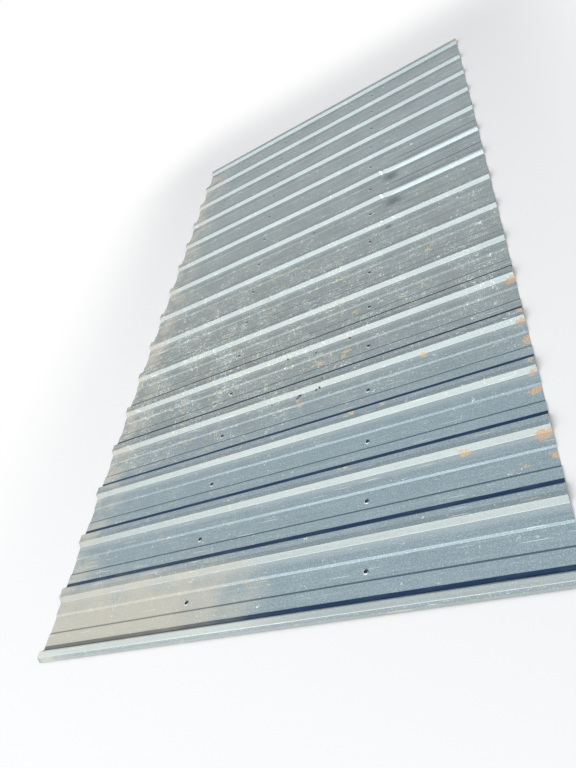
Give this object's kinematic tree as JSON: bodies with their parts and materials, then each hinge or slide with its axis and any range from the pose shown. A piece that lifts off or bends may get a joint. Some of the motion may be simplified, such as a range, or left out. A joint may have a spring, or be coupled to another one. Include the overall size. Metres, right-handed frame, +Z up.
{
  "type": "corrugated metal sheet",
  "caption": "Galvanised steel roofing sheet with low trapezoid ribs, stepped pans between them and rows of open screw holes, worn and dented.",
  "frame": {"origin": "on the level floor, under the middle of the sheet's bounding box", "axes": "+X along the ribs, towards the end whose screw row is nearer; +Y across the ribs; +Z up"},
  "size_m": [1.829, 3.4818, 0.0203],
  "materials": {
    "galvanised_steel": "weathered galvanised, satin"
  },
  "bodies": {
    "root": {"corrugated_sheet": "galvanised_steel"}
  },
  "joints": []
}
